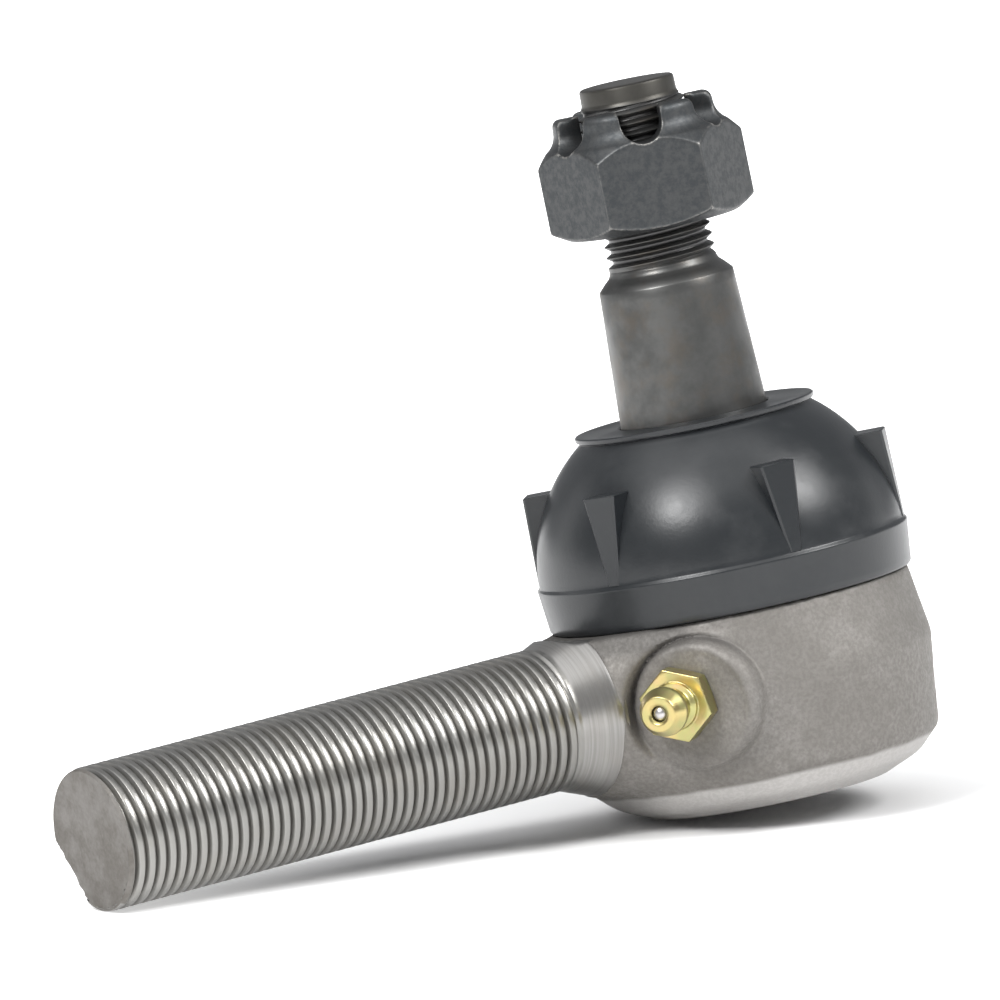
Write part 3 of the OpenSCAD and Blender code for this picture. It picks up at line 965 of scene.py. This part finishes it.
def finish_cad_nodes():
    """Materials of the CAD parts whose shape is kept."""
    bearing = plain_steel("bearing_steel", (0.55, 0.53, 0.5), 0.3)
    ring = plain_steel("ring_steel", (0.5, 0.5, 0.5), 0.35)
    looks = {
        "upper_bearing": bearing, "lower_bearing": bearing,
        "preload_spring": plain_steel("spring_steel", (0.3, 0.31, 0.33), 0.3),
        "end_cover": plain_steel("pressed_steel", (0.42, 0.41, 0.4), 0.38),
        "boot_base_ring": ring, "boot_top_ring": ring,
        "grease_check_ball": plain_steel("ball_steel", (0.62, 0.6, 0.6), 0.28, False)}
    for node, material in looks.items():
        mesh = NODES[node].data
        mesh.materials.clear()
        mesh.materials.append(material)


# ---- stage ----------------------------------------------------------------------------------

FLOOR_ROLL = math.radians(6)             # the part lies rolled this much about its shank
FLOOR_SIZE = 9.0
FLOOR_GLOW = 0.5                         # of the paper round the part, outside its near shadow
FLOOR_FAR_GLOW = 0.75
SHADOW_UNDER = (-18 * MM, 0, RIM_Z)
ROOM_GREY = (0.32, 0.325, 0.335)

# Name, direction as (right, up, towards the camera), distance, (width, height), watts.
LIGHTS = [
    ("key", (-0.46, 0.56, 0.69), 1.3, (0.4, 0.4), 11.5),
    ("tent", (-0.2, 0.87, 0.35), 1.5, (2.2, 1.6), 13),
    ("strip", (0.65, 0.67, 0.36), 1.5, (0.55, 0.55), 15.5),
    ("back_right", (0.85, 0.2, -0.5), 1.5, (0.5, 0.9), 0.8),
    ("back_left", (-0.87, 0.2, -0.45), 1.5, (0.5, 0.9), 1),
]


def floor_plane():
    """A point and the normal of the floor: the shank's end and the rim rest on it, with the part
    rolled a little about its shank."""
    end, roll = SHANK_END - 0.6 * MM, math.sin(FLOOR_ROLL)
    along = 0.09                         # a first guess, which settles in a few rounds
    for _ in range(5):
        up = math.sqrt(1 - roll ** 2 - along ** 2)
        rim_drop = RIM_R * math.hypot(along, roll) - up * RIM_Z
        along = (rim_drop - SHANK_R * math.hypot(roll, up)) / end
    normal = Vector((along, -roll, up)).normalized()
    down = Vector((0, roll, -up)).normalized()
    return Vector((-end, 0, 0)) + down * SHANK_R, normal


def make_floor():
    """White paper that glows a little away from the part, so that it fades into the backdrop."""
    point, normal = floor_plane()
    size = FLOOR_SIZE
    corners = [(-size, -size), (size, -size), (size, size), (-size, size)]
    mesh = bpy.data.meshes.new("floor")
    mesh.from_pydata([(x, y, 0) for x, y in corners], [], [(0, 1, 2, 3)])
    floor = add_object("floor", mesh)
    turn = normal.to_track_quat("Z", "Y").to_matrix().to_4x4()
    floor.matrix_world = Matrix.Translation(point - normal * 0.03 * MM) @ turn
    p = Paint("white_paper")
    p.set(base_color=(0.88, 0.88, 0.88), roughness=0.9, specular=0.0)
    p.shader.inputs["Emission Color"].default_value = (1, 1, 1, 1)
    far = p.ramp(p.length(p.place), 0.2, 0.8, 0.0, FLOOR_FAR_GLOW)
    under_neck = floor.matrix_world.inverted() @ Vector(SHADOW_UNDER)
    near = p.ramp(p.distance_from(under_neck), 0.03, 0.09, 0.0, FLOOR_GLOW)
    p.put(p.maths("ADD", far, near), p.shader.inputs["Emission Strength"])
    mesh.materials.append(p.material)


def soft_light(name, direction, distance, size, power):
    data = bpy.data.lights.new(name, "AREA")
    data.shape = "RECTANGLE"
    data.size, data.size_y = size
    data.energy = power
    light = bpy.data.objects.new(name, data)
    bpy.context.scene.collection.objects.link(light)
    right, up, back = direction
    way = (CAMERA_RIGHT * right + CAMERA_UP * up + CAMERA_BACK * back).normalized()
    light.location = way * distance
    light.rotation_euler = way.to_track_quat("Z", "Y").to_euler()


def make_world():
    """A grey room with a white backdrop; the camera sees the backdrop as plain white."""
    world = bpy.data.worlds.new("studio")
    world.use_nodes = True
    nodes, links = world.node_tree.nodes, world.node_tree.links
    room = nodes["Background"]
    room.inputs["Color"].default_value = (*ROOM_GREY, 1)
    backdrop = nodes.new("ShaderNodeBackground")
    backdrop.inputs["Color"].default_value = (1, 1, 1, 1)
    path = nodes.new("ShaderNodeLightPath")
    mix = nodes.new("ShaderNodeMixShader")
    links.new(path.outputs["Is Camera Ray"], mix.inputs["Fac"])
    links.new(room.outputs[0], mix.inputs[1])
    links.new(backdrop.outputs[0], mix.inputs[2])
    links.new(mix.outputs[0], nodes["World Output"].inputs["Surface"])
    bpy.context.scene.world = world


make_housing()
make_stud()
make_nut()
make_boot()
make_fitting()
make_grease_spring()
finish_cad_nodes()
make_floor()
make_world()
for light in LIGHTS:
    soft_light(*light)
bpy.context.scene.view_settings.view_transform = "Standard"
